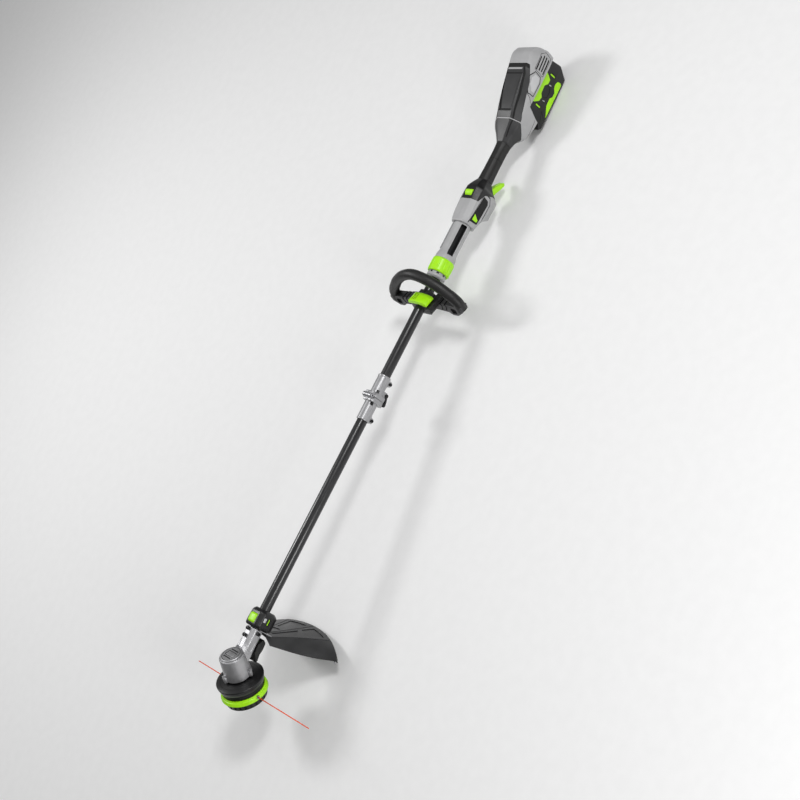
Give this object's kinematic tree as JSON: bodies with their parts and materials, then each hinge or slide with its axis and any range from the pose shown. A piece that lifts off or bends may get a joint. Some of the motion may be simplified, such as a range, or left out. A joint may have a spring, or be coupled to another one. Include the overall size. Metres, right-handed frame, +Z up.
{
  "type": "string trimmer",
  "caption": "Battery string trimmer with folding telescopic shaft, loop handle, trigger grip, rear battery, guard and spinning line head.",
  "frame": {"origin": "middle of the underside of the box round the trimmer without its free line ends, as it lies on its guard rim and battery", "axes": "+X along the shaft towards the battery, +Y sideways, away from the line cutter, +Z up"},
  "size_m": [1.773, 0.434, 0.2343],
  "materials": {
    "black_plastic": "satin moulded black nylon",
    "dark_plastic": "dark grey moulded plastic",
    "grey_plastic": "fine textured mid grey plastic",
    "green_plastic": "lime green satin plastic",
    "aluminium_bright": "satin die-cast aluminium",
    "aluminium_cast": "shot-blasted cast aluminium",
    "tube_black": "satin black shaft coating",
    "steel": "ground steel",
    "screw_black": "black oxide screw",
    "rubber": "soft black rubber-like plastic",
    "line": "orange-red nylon line",
    "board": "green circuit board"
  },
  "bodies": {
    "rear_unit": {"rear_housing_left": "grey_plastic", "rear_housing_right": "grey_plastic", "top_cover": "dark_plastic", "neck_flare": "dark_plastic", "grip_upper": "dark_plastic", "grip_lower": "black_plastic", "grip_core_tube": "steel", "trigger_nose": "black_plastic", "trigger_housing_left": "grey_plastic", "trigger_housing_right": "grey_plastic", "outer_sleeve": "grey_plastic", "sleeve_nose_ring": "grey_plastic", "trigger_pin": "steel", "trigger_switch": "dark_plastic", "control_board": "board", "battery_terminal_block": "dark_plastic"},
    "battery": {"battery_pack": "black_plastic"},
    "release_button": {"battery_release_button": "black_plastic"},
    "trigger": {"throttle_trigger": "green_plastic"},
    "lock_button": {"lock_off_button": "green_plastic"},
    "collar": {"twist_collar": "green_plastic"},
    "upper_shaft": {"upper_tube": "tube_black", "fold_hinge_upper": "aluminium_bright", "fold_hinge_pin": "steel", "upper_clamp_screw": "screw_black"},
    "latch": {"fold_latch_lever": "screw_black"},
    "handle": {"loop_handle": "dark_plastic", "handle_clamp_jaw": "black_plastic", "handle_clamp_screw": "screw_black"},
    "handle_lever": {"handle_release_lever": "green_plastic"},
    "lower_shaft": {"lower_tube": "tube_black", "fold_hinge_lower": "aluminium_bright", "lower_clamp_screw": "screw_black", "motor_housing": "aluminium_cast", "motor_lid": "aluminium_cast", "motor_screw_front": "screw_black", "motor_screw_side": "screw_black", "motor_end_plate": "aluminium_cast", "motor_stator": "steel", "bearing_upper": "steel", "bearing_lower": "steel", "neck_screw_upper": "screw_black", "neck_screw_lower": "screw_black", "neck_screw_side": "screw_black", "guard_mount": "black_plastic", "guard_bracket": "aluminium_bright", "guard_shell": "dark_plastic", "guard_apron": "rubber", "line_cutter_blade": "steel"},
    "load_button": {"line_load_button": "green_plastic"},
    "cutting_head": {"motor_rotor": "steel", "head_cover": "black_plastic", "head_base": "black_plastic", "line_ring": "green_plastic", "eyelet_near": "steel", "eyelet_far": "steel", "cutting_line_near": "line", "cutting_line_far": "line"},
    "spool_and_knob": {"line_spool": "dark_plastic", "bump_knob": "black_plastic"}
  },
  "joints": [
    {"name": "battery_slide", "type": "slide", "parent": "rear_unit", "child": "battery", "axis": [0.9965, 0, -0.0839], "range_m": [0, 0.14]},
    {"name": "battery_release_press", "type": "slide", "parent": "rear_unit", "child": "release_button", "axis": [-0.9965, 0, 0.0839], "range_m": [0, 0.004], "stiffness_N_per_m": 500, "springref_m": -0.002},
    {"name": "trigger_pull", "type": "hinge", "parent": "rear_unit", "child": "trigger", "pos_m": [0.50342, 0, 0.05803], "axis": [0, -1, 0], "range_deg": [0, 18], "stiffness_Nm_per_rad": 0.5, "springref_deg": -8.59},
    {"name": "lock_off_press", "type": "slide", "parent": "rear_unit", "child": "lock_button", "axis": [-0.0839, 0, -0.9965], "range_m": [0, 0.004], "stiffness_N_per_m": 400, "springref_m": -0.002},
    {"name": "collar_twist", "type": "hinge", "parent": "rear_unit", "child": "collar", "pos_m": [0.27309, 0, 0.0995], "axis": [0.9965, 0, -0.0839], "range_deg": [0, 90]},
    {"name": "shaft_extend", "type": "slide", "parent": "rear_unit", "child": "upper_shaft", "axis": [-0.9965, 0, 0.0839], "range_m": [0, 0.1]},
    {"name": "fold_latch_open", "type": "hinge", "parent": "upper_shaft", "child": "latch", "pos_m": [-0.07205, 0, 0.10047], "axis": [0, -1, 0], "range_deg": [0, 85]},
    {"name": "shaft_fold", "type": "hinge", "parent": "upper_shaft", "child": "lower_shaft", "pos_m": [-0.08882, 0, 0.15156], "axis": [0, 1, 0], "range_deg": [0, 145]},
    {"name": "handle_slide", "type": "slide", "parent": "upper_shaft", "child": "handle", "axis": [-0.9965, 0, 0.0839], "range_m": [-0.02, 0.09]},
    {"name": "handle_lever_open", "type": "hinge", "parent": "handle", "child": "handle_lever", "pos_m": [0.19551, -0.043, 0.11949], "axis": [0.9303, 0, -0.3667], "range_deg": [0, 35]},
    {"name": "line_load_press", "type": "slide", "parent": "lower_shaft", "child": "load_button", "axis": [-0.0839, 0, -0.9965], "range_m": [0, 0.003], "stiffness_N_per_m": 400, "springref_m": -0.002},
    {"name": "head_spin", "type": "hinge", "parent": "lower_shaft", "child": "cutting_head", "pos_m": [-0.79114, 0, 0.18913], "axis": [0.6403, 0, 0.7681], "continuous": true},
    {"name": "bump_feed", "type": "slide", "parent": "cutting_head", "child": "spool_and_knob", "axis": [0.6403, 0, 0.7681], "range_m": [0, 0.004], "stiffness_N_per_m": 1500, "springref_m": -0.003}
  ]
}
